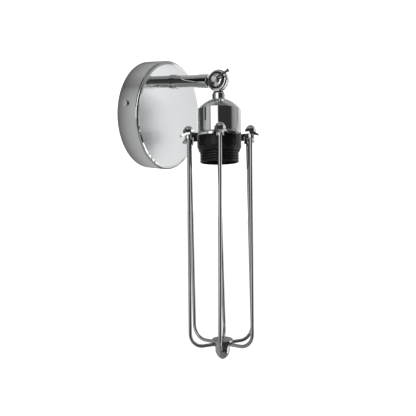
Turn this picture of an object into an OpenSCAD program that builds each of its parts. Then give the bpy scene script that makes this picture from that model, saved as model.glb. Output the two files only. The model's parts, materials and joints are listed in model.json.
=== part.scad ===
// Cage wall light: a round backplate, a short stepped arm, a clamped knuckle and a caged lampholder.
//
// Millimetres. The wall is the plane y = 0, the origin is the centre of the backplate on the wall,
// +Z is up and the light stands out from the wall towards -Y.
//
// Two working frames are used below.
//   on_wall: local x is across, local y is up and local z is the distance out from the wall.
//   in_lamp: the origin is the knuckle's pivot and -z runs down the lamp's own axis, which hangs
//            hang_tilt degrees away from the wall. A height in this frame is given as a drop below
//            the pivot.

/* [Backplate] */
// Outside diameter of the backplate
plate_d = 115; // [105:1:140]
// Depth of the backplate, from the wall to its face
plate_depth = 25; // [23:0.5:35]
// Sheet thickness of the backplate
plate_wall = 1.2; // [0.8:0.1:2]
// Radius of the backplate's outer edge
plate_edge_r = 2; // [1.5:0.1:4]

/* [Wall bracket and side screws] */
// Height of the side screws above the middle of the backplate
side_screw_rise = 2.5; // [0:0.5:8]
// Distance of the side screws from the wall
side_screw_out = 10.4; // [9:0.1:13]
// Thread diameter of the side screws
side_screw_d = 3.5; // [3:0.1:4]
// Head diameter of the side screws
side_head_d = 6.4; // [5:0.1:8]
// Width of the bracket's strip
bracket_w = 20; // [20:0.5:24]
// Thickness of the bracket's strip
bracket_t = 1.5; // [1:0.1:2.5]
// Distance between the two wall screw slots
slot_spacing = 60; // [56:1:70]
// Width of a wall screw slot
slot_w = 5; // [4:0.1:6]
// Length of a wall screw slot, end to end
slot_l = 14; // [8:0.5:16]

/* [Terminals] */
// Length of the terminal block
block_l = 24; // [22:0.5:30]
// Height of the terminal block along the wall
block_w = 12; // [10:0.5:16]
// Depth of the terminal block out from the bracket
block_h = 11; // [10:0.5:14]
// Thread diameter of the earth screw
earth_screw_d = 4; // [3:0.5:4]
// Outside diameter of an insulated lead
lead_d = 2.2; // [1.8:0.1:2.2]

/* [Arm] */
// Distance of the arm's middle below the backplate's top edge
arm_below_edge = 20.5; // [16:0.5:25]
// Distance of the knuckle's pivot from the wall
pivot_reach = 79.5; // [72:0.5:110]
// Diameter of the collar at the backplate
base_collar_d = 15; // [13:0.1:18]
// Length of the collar at the backplate
base_collar_l = 4.5; // [3.5:0.5:12]
// Diameter of the collar at the knuckle
end_collar_d = 14; // [13:0.1:18]
// Length of the collar at the knuckle
end_collar_l = 12.5; // [9:0.5:16]
// Diameter of the tube between the collars
arm_tube_d = 13; // [12:0.1:16]
// Outside diameter of the hollow thread that joins the pieces
thread_d = 9.8; // [9:0.1:10]
// Bore of the hollow thread, for the leads
thread_bore_d = 6.6; // [6.2:0.1:7]

/* [Knuckle] */
// Diameter of the knuckle's discs
knuckle_d = 22.4; // [22:0.1:28]
// Thickness of one disc at its rim
disc_t = 3.6; // [3.2:0.1:6]
// Radius of a disc's outer edge
disc_edge_r = 2.2; // [0.5:0.1:2.6]
// Diameter of the raised boss on a disc's outside
boss_d = 13.2; // [12:0.1:15]
// Height of the raised boss
boss_h = 1.3; // [0.9:0.1:2]
// Depth of the round groove between a disc's rim and its boss
cove_depth = 0.7; // [0.3:0.05:0.9]
// Gap between the two discs
disc_gap = 0.3; // [0.2:0.05:0.6]
// Diameter of the clamp screw's shank, which is the pivot pin
shank_d = 4.9; // [4:0.1:5]
// Diameter of the clamp screw's head
clamp_head_d = 6.4; // [6:0.1:9]
// Length of the clamp screw's head
clamp_head_l = 5.2; // [5:0.1:9]
// Diameter of the tommy bar
bar_d = 2.3; // [1.5:0.1:2.4]
// Length of the tommy bar, with its end knobs
bar_l = 24.3; // [20:0.1:32]
// How far the tommy bar is slid up from its middle
bar_slid = 5.1; // [-6:0.1:6]
// Angle of the tommy bar above the horizontal, when the clamp is tight
bar_angle = 30.5; // [20:0.5:60]
// Distance the lamp hangs out from plumb, in degrees
hang_tilt = 8; // [0:0.1:20]

/* [Lampholder] */
// Diameter of the collar under the knuckle
neck_d = 13.5; // [13:0.1:16]
// Length of the collar under the knuckle
neck_l = 7.8; // [6:0.1:14]
// Height of the undercut at the top of that collar
neck_groove_h = 1.8; // [0.8:0.1:2.6]
// Outside diameter of the holder cup
cup_d = 45.2; // [45:0.1:54]
// Height of the cup's domed shoulder
cup_dome_h = 10.9; // [8:0.1:14]
// Height of the cup's straight wall
cup_wall_h = 23.5; // [20:0.1:34]
// Sheet thickness of the holder cup
cup_wall = 0.8; // [0.5:0.1:1]
// Radius of the rolled bead round the cup's mouth
bead_r = 0.8; // [0.5:0.1:1.2]
// Outside diameter of the threaded skirt, 39.5 on a standard 27 mm lampholder
skirt_d = 39.5; // [39:0.1:41]
// Length of the threaded skirt below its flange
skirt_l = 27.6; // [26:0.2:40]
// Bore of the skirt at its mouth
skirt_bore_d = 33.8; // [32:0.1:35]
// Pitch of the skirt's outer thread
skirt_pitch = 2.6; // [2:0.1:3.5]
// Clear diameter inside the brass screw shell
socket_d = 26.6; // [26.4:0.1:26.8]
// Length of the brass screw shell
socket_l = 27; // [22:0.5:28]
// Pitch of the screw shell's thread
socket_pitch = 3.6; // [3:0.1:4]

/* [Shade ring] */
// Outside diameter of the shade ring
ring_d = 45; // [44.4:0.1:52]
// Height of the shade ring
ring_h = 14; // [10:0.1:16]
// Height of the ring's chamfered lower part
ring_chamfer_h = 4.6; // [2:0.1:6]

/* [Cage] */
// Thickness of the star plate
star_t = 2; // [1.5:0.1:4]
// Diameter of the star plate between its lugs
star_d = 58; // [56:0.5:64]
// Distance from the axis to a lug's tip
lug_reach = 44; // [43:0.5:52]
// Width of a lug where the rod passes
lug_w = 12; // [11:0.5:16]
// Angle by which a lug's tip is bent down
lug_bend = 28; // [0:1:40]
// Distance from the axis to the rods at the star plate
rod_ring_r = 35.1; // [35:0.1:37.5]
// Diameter of a cage rod
rod_d = 3.5; // [2.5:0.1:3.6]
// Drop of the rods' legs below the pivot
leg_drop = 266.5; // [180:0.5:320]
// Radius of the bend between a rod and its leg
elbow_r = 14; // [8:0.5:18]
// Turn of the cage's foot against its top, in degrees
cage_twist = 5.5; // [0:0.1:8]
// Corner to corner width of a cap nut
cap_nut_d = 10.8; // [9.6:0.1:12]
// Height of a cap nut
cap_nut_h = 7.2; // [6.4:0.1:11]

/* [Hub] */
// Diameter of the domed disc on top of the hub
hub_disc_d = 21.2; // [18:0.1:26]
// Diameter of the hub's body, where the legs enter
hub_d = 17.2; // [16:0.1:20]
// Height of the hub's body
hub_h = 4.8; // [4.6:0.1:8]
// Diameter of the finial
finial_d = 14.6; // [12:0.1:18]
// Length of the finial
finial_l = 13.6; // [10:0.1:20]

/* [Hidden] */
$fn = 64;
eps = 0.01;

// Clearances, each between two surfaces
thread_gap = 0.1;
seat_gap = 0.1;
pin_gap = 0.05;
screw_gap = 0.1;
ring_gap = 0.3;
lead_gap = 0.4;

rod_count = 6;
plate_r = plate_d / 2;
thread_r = thread_d / 2;
thread_bore_r = thread_bore_d / 2;
thread_hole_r = thread_r + thread_gap;
lead_r = lead_d / 2;
lead_x = lead_r + 0.3;
lead_split = lead_r + 0.15;
locknut_h = 3;
locknut_r = 8;
washer_t = 1;
washer_r = 8.6;

// Bracket: its tabs stand just inside the backplate's wall
tab_w = 12;
tab_clear = 0.4;
tab_h = side_screw_out + 4.6;
tab_corner_y = max(bracket_w / 2, side_screw_rise + tab_w / 2);
tab_out_x = sqrt(pow(plate_r - plate_wall, 2) - pow(tab_corner_y, 2)) - tab_clear;
tongue_w = block_l + 2;
tongue_h = block_w + 5;
block_gap_below = 3;
block_y = -bracket_w / 2 - block_gap_below - block_w / 2;
side_head_h = 1.9;
side_screw_r = side_screw_d / 2;
// The head's flat back stands just off the rim, which curves away on both sides of it
side_head_seat = plate_r + 0.05;
earth_x = (slot_spacing - slot_l) / 4;
earth_screw_r = earth_screw_d / 2;
earth_washer_t = 0.8;
earth_screw_l = 8;
pole_x = block_l / 4;
pole_bore_r = lead_r + 0.9;
pole_screw_r = 1.6;
pole_screw_y = block_w / 4;

// Arm, measured out from the wall
arm_rise = plate_r - arm_below_edge;
arm_stem_l = 30;
nipple_in = 5.5;
nipple_gap = 5;
nipple_out = pivot_reach - arm_stem_l - plate_depth - nipple_gap;
base_collar_end = plate_depth + base_collar_l;
end_collar_start = pivot_reach - knuckle_d / 2 - disc_gap - end_collar_l;
end_collar_end = end_collar_start + end_collar_l;
arm_tube_wall = 1.2;

// Knuckle
knuckle_r = knuckle_d / 2;
half_gap = disc_gap / 2;
stem_start = knuckle_r + disc_gap + seat_gap;
stem_root = 8;
shank_r = shank_d / 2;
shank_bore_r = shank_r + pin_gap;
race_in_r = shank_r + 1.25;
race_out_r = 7.2;
race_depth = lead_x + lead_r + 0.1 - half_gap;
disc_face = half_gap + disc_t;
boss_r = boss_d / 2;
boss_seat_r = 3.6;
boss_edge_h = 0.4;
boss_bulge = 0.25;
cove_w = 2.2;
cove_mid_r = boss_r + cove_w / 2;
cove_r = (cove_w * cove_w / 4 + cove_depth * cove_depth) / (2 * cove_depth);
boss_face = disc_face + boss_h;
knuckle_washer_t = 0.9;
knuckle_washer_r = 4.4;
clamp_nut_r = 4.7;
clamp_nut_h = 3.8;
clamp_nut_start = boss_face + knuckle_washer_t + 2 * seat_gap;
clamp_head_start = boss_face + seat_gap;
clamp_head_r = clamp_head_d / 2;
clamp_dome_h = 0.8;
bar_r = bar_d / 2;
bar_out = clamp_head_start + clamp_head_l / 2;
knob_r = bar_r + 0.5;
knob_l = 1.6;

// Lampholder, measured as drops below the pivot
neck_top = stem_start;
neck_r = neck_d / 2;
neck_edge = 0.4;
neck_groove_r = thread_r + 0.6;
cup_top = neck_top + neck_l + seat_gap;
cup_r = cup_d / 2;
cup_flat_r = neck_r + 1.2;
cup_shoulder = cup_top + cup_dome_h;
cup_mouth = cup_shoulder + cup_wall_h;
dome_bulge = 1.2;
holder_washer_top = cup_top + cup_wall + seat_gap;
holder_nut_top = holder_washer_top + washer_t + seat_gap;
cap_top = holder_nut_top + locknut_h + 0.4;
stem_end = cap_top + 4;
holder_wall = 1.6;
holder_r = 18.5;
holder_barrel_l = 13.4;
cap_rim_h = 2.6;
cap_slope_h = 6;
cap_top_wall = 4.4;
cap_slope_wall = 0.8;
flange_top = cup_mouth + bead_r + seat_gap;
flange_t = 1.4;
flange_r = cup_r - 0.6;
flange_bottom = flange_top + flange_t;
holder_joint = flange_top - holder_barrel_l;
skirt_r = skirt_d / 2;
skirt_bottom = flange_bottom + skirt_l;
skirt_bore_r = skirt_bore_d / 2;
thread_depth = 0.7;
skirt_lip = 3.2;
skirt_edge_r = 1.7;
block_bottom = flange_top - 4.3;
block_r = skirt_bore_r - 0.2;
ledge_t = 1.6;
ledge_w = 1.6;
ceramic_top = holder_joint + 1;
socket_r = socket_d / 2;
shell_t = 0.7;
shell_top = block_bottom + seat_gap;
contact_lift = 10;
holder_screw_x = 9;
holder_screw_r = 1.5;
holder_head_r = 2.8;
holder_head_h = 2;

// Cage
star_top = flange_bottom + seat_gap;
star_bottom = star_top + star_t;
ring_top = star_bottom + seat_gap;
rod_r = rod_d / 2;
rod_hole_r = rod_r + 0.15;
rod_top = star_top - cap_nut_h + 2.4;
under_nut_r = 3.7;
under_nut_h = 3.5;
foot_r = rod_ring_r * cos(cage_twist);
rod_lean = atan(rod_ring_r * sin(cage_twist) / (leg_drop - (star_top + star_t / 2)));
leg_in = rod_d * 1.35;

// Hub
hub_top = leg_drop - hub_h / 2;
hub_bottom = leg_drop + hub_h / 2;
hub_disc_edge = 1.6;
hub_disc_dome = 1.8;
hub_disc_top = hub_top - seat_gap - hub_disc_edge;
stud_r = 2;
finial_top = hub_bottom + seat_gap;
finial_straight = 4.6;
finial_bulge = 1.7;

chrome = [0.80, 0.81, 0.82];
steel = [0.66, 0.67, 0.69];
zinc = [0.74, 0.74, 0.72];
brass = [0.80, 0.64, 0.32];
black = [0.07, 0.07, 0.08];
porcelain = [0.92, 0.91, 0.87];
nylon = [0.90, 0.90, 0.88];
lead_grey = [0.55, 0.57, 0.60];

// ---- Frames -------------------------------------------------------------------------------------

module on_wall() {
    rotate([90, 0, 0]) children();
}

// Along the arm: local z is the distance out from the wall
module on_arm(out = 0) {
    on_wall() translate([0, arm_rise, out]) children();
}

module at_pivot() {
    translate([0, -pivot_reach, arm_rise]) children();
}

module in_lamp(drop = 0) {
    at_pivot() rotate([-hang_tilt, 0, 0]) translate([0, 0, -drop]) children();
}

// Round the lamp's axis, once for each rod
module each_rod() {
    for (k = [0 : rod_count - 1])
        rotate([0, 0, k * 360 / rod_count]) children();
}

// ---- Shapes -------------------------------------------------------------------------------------

module tube(h, outer_r, bore_r) {
    difference() {
        cylinder(h = h, r = outer_r);
        translate([0, 0, -eps]) cylinder(h = h + 2 * eps, r = bore_r);
    }
}

module hex_nut(h, corner_r, bore_r) {
    difference() {
        cylinder(h = h, r = corner_r, $fn = 6);
        translate([0, 0, -eps]) cylinder(h = h + 2 * eps, r = bore_r);
    }
}

// Half outline of a cylinder with one rounded edge at its top
module round_top_outline(r, h, edge_r) {
    square([r - edge_r, h]);
    square([r, h - edge_r]);
    intersection() {
        translate([r - edge_r, h - edge_r]) circle(r = edge_r);
        square([r, h]);
    }
}

// Points on the arc from p to q that stands "bulge" proud of their chord, to the right of it
function arc_points(p, q, bulge, steps = 10) =
    let (chord = norm(q - p))
    let (radius = (chord * chord / 4 + bulge * bulge) / (2 * bulge))
    let (along = (q - p) / chord)
    let (side = [along[1], -along[0]])
    let (centre = (p + q) / 2 - (radius - bulge) * side)
    let (half = asin(chord / 2 / radius))
    [
        for (i = [0 : steps])
            let (a = -half + 2 * half * i / steps)
            centre + radius * (cos(a) * side + sin(a) * along)
    ];

// A cross recess, cut downwards from z = 0
module cross_recess(size, depth) {
    for (turn = [0, 90])
        rotate([0, 0, turn])
            translate([-size / 2, -size / 8, -depth]) cube([size, size / 4, depth + eps]);
}

// A screw that points down, with its head's flat back at z = 0
module pan_screw(head_r, head_h, shank_r, shank_l) {
    difference() {
        union() {
            rotate_extrude() round_top_outline(head_r, head_h, head_h * 0.45);
            translate([0, 0, -shank_l]) cylinder(h = shank_l + eps, r = shank_r);
        }
        translate([0, 0, head_h]) cross_recess(head_r * 1.1, head_h * 0.5);
    }
}

// A round tube along a path
function unit(v) = v / norm(v);
function heading(path, i) = unit(path[min(i + 1, len(path) - 1)] - path[max(i - 1, 0)]);
function ring_points(centre, along, r, sides) =
    let (u = unit(cross(along, [1, 0, 0])))
    let (w = cross(along, u))
    [for (k = [0 : sides - 1]) centre + r * (cos(360 * k / sides) * u + sin(360 * k / sides) * w)];

module swept_tube(path, r, sides = 8) {
    last = len(path) - 1;
    points = [for (i = [0 : last]) each ring_points(path[i], heading(path, i), r, sides)];
    walls = [
        for (i = [0 : last - 1], k = [0 : sides - 1])
            let (a = i * sides + k)
            let (b = i * sides + (k + 1) % sides)
            each [[a, b, a + sides], [b, b + sides, a + sides]]
    ];
    start_cap = [for (k = [1 : sides - 2]) [0, k + 1, k]];
    end_cap = [for (k = [1 : sides - 2]) [last * sides, last * sides + k, last * sides + k + 1]];
    polyhedron(points = points, faces = concat(walls, start_cap, end_cap), convexity = 4);
}

// ---- Backplate and what it hides ----------------------------------------------------------------

module backplate() {
    color(chrome) on_wall()
    difference() {
        rotate_extrude($fn = 128)
            difference() {
                round_top_outline(plate_r, plate_depth, plate_edge_r);
                translate([0, -eps])
                    round_top_outline(
                        plate_r - plate_wall,
                        plate_depth - plate_wall + eps,
                        plate_edge_r - plate_wall / 2
                    );
            }
        translate([0, arm_rise, 0]) cylinder(h = plate_depth + 1, r = thread_hole_r);
        for (side = [-1, 1])
            translate([0, side_screw_rise, side_screw_out])
                rotate([0, side * 90, 0]) cylinder(h = plate_r + 1, r = side_screw_r + screw_gap);
    }
}

module slot(length, width, h) {
    for (end = [-1, 1])
        translate([end * (length - width) / 2, 0, 0]) cylinder(h = h, r = width / 2);
    translate([-(length - width) / 2, -width / 2, 0]) cube([length - width, width, h]);
}

module wall_bracket() {
    cut_h = bracket_t + 2;
    color(zinc) on_wall()
    difference() {
        union() {
            translate([-tab_out_x, -bracket_w / 2, 0]) cube([2 * tab_out_x, bracket_w, bracket_t]);
            for (side = [-1, 1])
                translate([side * (tab_out_x - bracket_t / 2), side_screw_rise, tab_h / 2])
                    cube([bracket_t, tab_w, tab_h], center = true);
            translate([-tongue_w / 2, -bracket_w / 2 - tongue_h, 0])
                cube([tongue_w, tongue_h + 1, bracket_t]);
        }
        for (side = [-1, 1]) {
            translate([side * slot_spacing / 2, 0, -1]) slot(slot_l, slot_w, cut_h);
            translate([0, side_screw_rise, side_screw_out])
                rotate([0, side * 90, 0]) cylinder(h = plate_r, r = side_screw_r + screw_gap);
        }
        translate([earth_x, 0, -1]) cylinder(h = cut_h, r = earth_screw_r + screw_gap);
    }
}

module side_screws() {
    shank_l = side_head_seat - tab_out_x + bracket_t + 2.5;
    color(chrome) on_wall()
    for (side = [-1, 1])
        translate([side * side_head_seat, side_screw_rise, side_screw_out])
            rotate([0, side * 90, 0])
                pan_screw(side_head_d / 2, side_head_h, side_screw_r, shank_l);
}

module earth_screw() {
    seat = bracket_t + earth_washer_t + 2 * seat_gap;
    color(brass) on_wall()
    translate([earth_x, 0, seat])
        pan_screw(earth_screw_r * 1.8, 2.4, earth_screw_r, seat - 0.2);
}

module earth_washer() {
    color(brass) on_wall()
    translate([earth_x, 0, bracket_t + seat_gap])
        tube(earth_washer_t, earth_screw_r * 2.2, earth_screw_r + screw_gap);
}

module terminal_block() {
    color(nylon) on_wall()
    translate([0, block_y, bracket_t + seat_gap])
    difference() {
        translate([-block_l / 2, -block_w / 2, 0]) cube([block_l, block_w, block_h]);
        for (pole = [-1, 1]) {
            translate([pole * pole_x, block_w, block_h / 2])
                rotate([90, 0, 0]) cylinder(h = 2 * block_w, r = pole_bore_r);
            for (end = [-1, 1])
                translate([pole * pole_x, end * pole_screw_y, block_h / 2])
                    cylinder(h = block_h, r = pole_screw_r + screw_gap);
        }
    }
}

module terminal_screws() {
    start = block_h / 2 + lead_r + seat_gap;
    length = block_h - start - 0.6;
    color(brass) on_wall()
    translate([0, block_y, bracket_t + seat_gap])
    for (pole = [-1, 1], end = [-1, 1])
        translate([pole * pole_x, end * pole_screw_y, start])
            difference() {
                cylinder(h = length, r = pole_screw_r);
                translate([-pole_screw_r - 1, -0.3, length - 0.8])
                    cube([2 * pole_screw_r + 2, 0.6, 1]);
            }
}

// ---- Arm ----------------------------------------------------------------------------------------

module arm_washer() {
    color(zinc) on_arm(plate_depth - plate_wall - seat_gap - washer_t)
        tube(washer_t, washer_r, thread_hole_r);
}

module arm_locknut() {
    color(zinc) on_arm(plate_depth - plate_wall - 2 * seat_gap - washer_t - locknut_h)
        hex_nut(locknut_h, locknut_r, thread_hole_r);
}

module arm_nipple() {
    color(zinc) on_arm(plate_depth - nipple_in)
        tube(nipple_in + nipple_out, thread_r, thread_bore_r);
}

// A turned collar with a fine chamfer at both ends
module collar(length, diameter, bore_r) {
    edge = 0.5;
    rotate_extrude()
        polygon([
            [bore_r, 0],
            [diameter / 2 - edge, 0],
            [diameter / 2, edge],
            [diameter / 2, length - edge],
            [diameter / 2 - edge, length],
            [bore_r, length],
        ]);
}

module arm_base_collar() {
    color(chrome) on_arm(plate_depth + seat_gap)
        collar(base_collar_l - 2 * seat_gap, base_collar_d, thread_hole_r);
}

module arm_tube() {
    length = end_collar_start - base_collar_end - seat_gap;
    color(chrome) on_arm(base_collar_end)
        tube(length, arm_tube_d / 2, arm_tube_d / 2 - arm_tube_wall);
}

module arm_end_collar() {
    color(chrome) on_arm(end_collar_start)
        collar(end_collar_l, end_collar_d, thread_hole_r);
}

// ---- Knuckle ------------------------------------------------------------------------------------

// Half outline of a disc's domed boss, with a flat seat for the clamp screw's head or washer
module boss_outline() {
    slope = arc_points([boss_r, boss_edge_h], [boss_seat_r, boss_h], boss_bulge);
    polygon(concat([[0, -1], [boss_r, -1]], slope, [[0, boss_h]]));
}

// One disc of the knuckle, standing on +x, with its race for the leads and the root of its stem.
// The stem runs along -z.
module knuckle_half(stem_l) {
    difference() {
        union() {
            rotate([0, 90, 0])
                rotate_extrude()
                    difference() {
                        translate([0, half_gap])
                            round_top_outline(knuckle_r, disc_t, disc_edge_r);
                        translate([cove_mid_r, disc_face + cove_r - cove_depth])
                            circle(r = cove_r);
                        translate([race_in_r, 0])
                            square([race_out_r - race_in_r, half_gap + race_depth]);
                    }
            rotate([0, 90, 0])
                rotate_extrude() translate([0, disc_face]) boss_outline();
            intersection() {
                translate([0, 0, -stem_start - 1]) cylinder(h = stem_start + 1 - stem_root, r = thread_r);
                translate([half_gap, -thread_r, -stem_start - 2])
                    cube([disc_t, 2 * thread_r, stem_start]);
            }
            translate([0, 0, -stem_l]) cylinder(h = stem_l - stem_start, r = thread_r);
        }
        translate([0, 0, -stem_l - eps]) cylinder(h = stem_l - race_in_r - 1, r = thread_bore_r);
        rotate([0, 90, 0]) cylinder(h = boss_face + 1, r = shank_bore_r);
    }
}

module knuckle_fixed_half() {
    color(chrome) at_pivot() rotate([90, 0, 0]) knuckle_half(arm_stem_l);
}

module knuckle_moving_half() {
    color(chrome) in_lamp() mirror([1, 0, 0]) knuckle_half(stem_end);
}

module knuckle_washer() {
    color(steel) at_pivot()
    translate([boss_face + seat_gap, 0, 0])
        rotate([0, 90, 0]) tube(knuckle_washer_t, knuckle_washer_r, shank_bore_r);
}

module clamp_nut() {
    color(chrome) at_pivot()
    translate([clamp_nut_start, 0, 0])
        rotate([0, 90, 0]) hex_nut(clamp_nut_h, clamp_nut_r, shank_bore_r);
}

module clamp_screw() {
    shank_l = clamp_head_start + clamp_nut_start + clamp_nut_h + 0.6;
    color(chrome) at_pivot()
    translate([-clamp_head_start, 0, 0])
    rotate([0, -90, 0])
    difference() {
        union() {
            rotate_extrude() round_top_outline(clamp_head_r, clamp_head_l, clamp_dome_h);
            translate([0, 0, -shank_l]) cylinder(h = shank_l + eps, r = shank_r);
        }
        translate([0, 0, clamp_head_l / 2])
            rotate([0, 0, bar_angle])
                rotate([90, 0, 0])
                    cylinder(h = 4 * clamp_head_r, r = bar_r + pin_gap, center = true);
    }
}

module tommy_bar() {
    color(chrome) at_pivot()
    translate([-bar_out, 0, 0])
    rotate([90 - bar_angle, 0, 0])
    translate([0, 0, bar_slid - bar_l / 2]) {
        cylinder(h = bar_l, r = bar_r);
        for (end = [0, bar_l - knob_l])
            translate([0, 0, end]) cylinder(h = knob_l, r = knob_r);
    }
}

// ---- Lampholder ---------------------------------------------------------------------------------

// The undercut leaves a dark slit between the knuckle and the collar
module neck_collar() {
    ledge = neck_l - neck_groove_h;
    color(chrome) in_lamp(neck_top + neck_l)
        rotate_extrude()
            polygon([
                [thread_hole_r, 0],
                [neck_r - neck_edge, 0],
                [neck_r, neck_edge],
                [neck_r, ledge - neck_edge],
                [neck_r - neck_edge, ledge],
                [neck_groove_r, ledge],
                [neck_groove_r, neck_l],
                [thread_hole_r, neck_l],
            ]);
}

// Half outline of the cup's skin, inset from its outside; z runs down from the cup's top
function cup_outline(inset) =
    let (r = cup_r - inset)
    let (dome = arc_points([r, -cup_dome_h], [cup_flat_r - inset / 2, -inset], dome_bulge))
    concat([[0, -cup_dome_h - cup_wall_h], [r, -cup_dome_h - cup_wall_h]], dome, [[0, -inset]]);

module holder_cup() {
    color(chrome) in_lamp(cup_top)
    difference() {
        union() {
            rotate_extrude($fn = 96) polygon(cup_outline(0));
            translate([0, 0, -cup_dome_h - cup_wall_h])
                rotate_extrude($fn = 96) translate([cup_r - cup_wall / 2, 0]) circle(r = bead_r, $fn = 24);
        }
        rotate_extrude($fn = 96) polygon(cup_outline(cup_wall));
        translate([0, 0, -cup_dome_h - cup_wall_h - 2 * bead_r])
            cylinder(h = cup_wall_h / 2, r = cup_r - cup_wall, $fn = 96);
        translate([0, 0, -cup_dome_h]) cylinder(h = cup_dome_h + 1, r = thread_hole_r);
    }
}

module holder_washer() {
    color(zinc) in_lamp(holder_washer_top + washer_t)
        tube(washer_t, washer_r - 1, thread_hole_r);
}

module holder_locknut() {
    color(zinc) in_lamp(holder_nut_top + locknut_h)
        hex_nut(locknut_h, locknut_r, thread_hole_r);
}

// The holder's cap, hidden in the cup
module holder_cap() {
    inner_r = holder_r - holder_wall;
    slope_end = cap_top + cap_rim_h + cap_slope_h;
    color(black) in_lamp()
    rotate_extrude()
        polygon([
            [thread_hole_r, -cap_top],
            [locknut_r, -cap_top],
            [locknut_r, -cap_top - cap_rim_h],
            [holder_r, -slope_end],
            [holder_r, -holder_joint + seat_gap],
            [inner_r, -holder_joint + seat_gap],
            [inner_r, -slope_end - cap_slope_wall],
            [locknut_r - 0.6, -cap_top - cap_top_wall],
            [thread_hole_r, -cap_top - cap_top_wall],
        ]);
}

// The holder's body: barrel, flange for the star plate and threaded skirt
module holder_body() {
    thread_end = skirt_bottom - skirt_lip;
    groove_count = floor((thread_end - flange_bottom - 1) / skirt_pitch);
    color(black) in_lamp()
    difference() {
        rotate_extrude($fn = 96)
            difference() {
                union() {
                    translate([0, -flange_bottom]) square([holder_r, flange_bottom - holder_joint]);
                    translate([0, -flange_bottom]) square([flange_r, flange_t]);
                    mirror([0, 1])
                        translate([0, flange_top])
                            round_top_outline(skirt_r, skirt_bottom - flange_top, skirt_edge_r);
                }
                translate([0, -skirt_bottom - eps])
                    square([skirt_bore_r, skirt_bottom - holder_joint + 2 * eps]);
                for (turn = [0 : groove_count - 1])
                    translate([skirt_r, -thread_end + turn * skirt_pitch])
                        rotate(45) square(thread_depth * sqrt(2), center = true);
            }
    }
    color(black) in_lamp(block_bottom + seat_gap + ledge_t)
        tube(ledge_t, skirt_bore_r + eps, skirt_bore_r - ledge_w);
}

module contact_block() {
    color(porcelain) in_lamp(block_bottom)
    difference() {
        cylinder(h = block_bottom - ceramic_top, r = block_r);
        for (side = [-1, 1])
            translate([side * holder_screw_x, 0, 2])
                cylinder(h = block_bottom, r = holder_screw_r + screw_gap);
    }
}

// Brass screw shell, rolled so that both faces follow the thread
module screw_shell() {
    turns = floor((socket_l - 2) / socket_pitch);
    step = shell_t + 0.1;
    color(brass) in_lamp(shell_top + socket_l)
    rotate_extrude($fn = 96)
        difference() {
            union() {
                translate([socket_r, 0]) square([shell_t, socket_l]);
                for (turn = [0 : turns - 1])
                    translate([socket_r, 1 + turn * socket_pitch])
                        square([2 * shell_t, socket_pitch / 2 + step]);
                translate([socket_r / 2, socket_l - shell_t]) square([socket_r / 2 + shell_t, shell_t]);
            }
            for (turn = [0 : turns - 1])
                translate([socket_r - 1, 1 + step / 2 + turn * socket_pitch])
                    square([1 + shell_t, socket_pitch / 2]);
        }
}

module centre_contact() {
    tongue_l = 9;
    color(brass) in_lamp(shell_top) {
        translate([0, 0, -0.8]) cylinder(h = 0.8, r = socket_r / 2 - 0.8);
        translate([-2.5, -tongue_l / 2, -0.8])
            rotate([-contact_lift, 0, 0]) translate([0, 0, -0.5]) cube([5, tongue_l, 0.6]);
    }
}

module holder_screws() {
    shank_l = block_bottom - ceramic_top - 3;
    color(brass) in_lamp(ceramic_top - seat_gap)
    for (side = [-1, 1])
        translate([side * holder_screw_x, 0, 0])
            pan_screw(holder_head_r, holder_head_h, holder_screw_r, shank_l);
}

// ---- Shade ring ---------------------------------------------------------------------------------

module shade_ring() {
    bore_r = skirt_r + ring_gap;
    outer_r = ring_d / 2;
    chamfer_w = outer_r - bore_r - 0.6;
    color(black) in_lamp()
    rotate_extrude($fn = 96)
        polygon([
            [bore_r, -ring_top],
            [outer_r, -ring_top],
            [outer_r, -ring_top - ring_h + ring_chamfer_h],
            [outer_r - chamfer_w, -ring_top - ring_h],
            [bore_r, -ring_top - ring_h],
        ]);
}

// ---- Cage ---------------------------------------------------------------------------------------

// A lug points along -y
module lug_outline() {
    tip_w = 2.4;
    widest = rod_ring_r + 1.5;
    polygon([
        [-lug_w * 0.62, -star_d / 2 + 4],
        [-lug_w / 2, -widest],
        [-tip_w / 2, -lug_reach],
        [tip_w / 2, -lug_reach],
        [lug_w / 2, -widest],
        [lug_w * 0.62, -star_d / 2 + 4],
    ]);
}

// Side outline of a lug, as distance from the axis against height over the plate's underside.
// The tip bends down past the nuts.
module lug_side() {
    bend_under = rod_ring_r + under_nut_r + seat_gap;
    bend_top = bend_under + star_t * tan(lug_bend / 2);
    tip_fall = (lug_reach - bend_top) * tan(lug_bend);
    tip_top = [lug_reach, star_t - tip_fall];
    polygon([
        [0, 0],
        [bend_under, 0],
        tip_top - star_t * [sin(lug_bend), cos(lug_bend)],
        tip_top,
        [bend_top, star_t],
        [0, star_t],
    ]);
}

module lug() {
    drop_room = lug_reach;
    intersection() {
        translate([0, 0, -drop_room]) linear_extrude(drop_room + star_t + 1) lug_outline();
        translate([-lug_w, 0, 0])
            rotate([90, 0, -90]) mirror([0, 0, 1]) linear_extrude(2 * lug_w) lug_side();
    }
}

module star_plate() {
    color(chrome) in_lamp(star_bottom)
    difference() {
        union() {
            cylinder(h = star_t, r = star_d / 2, $fn = 96);
            each_rod() lug();
        }
        translate([0, 0, -1]) cylinder(h = star_t + 2, r = skirt_r + ring_gap, $fn = 96);
        each_rod()
            translate([0, -rod_ring_r, -1]) cylinder(h = star_t + 2, r = rod_hole_r, $fn = 32);
    }
}

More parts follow.
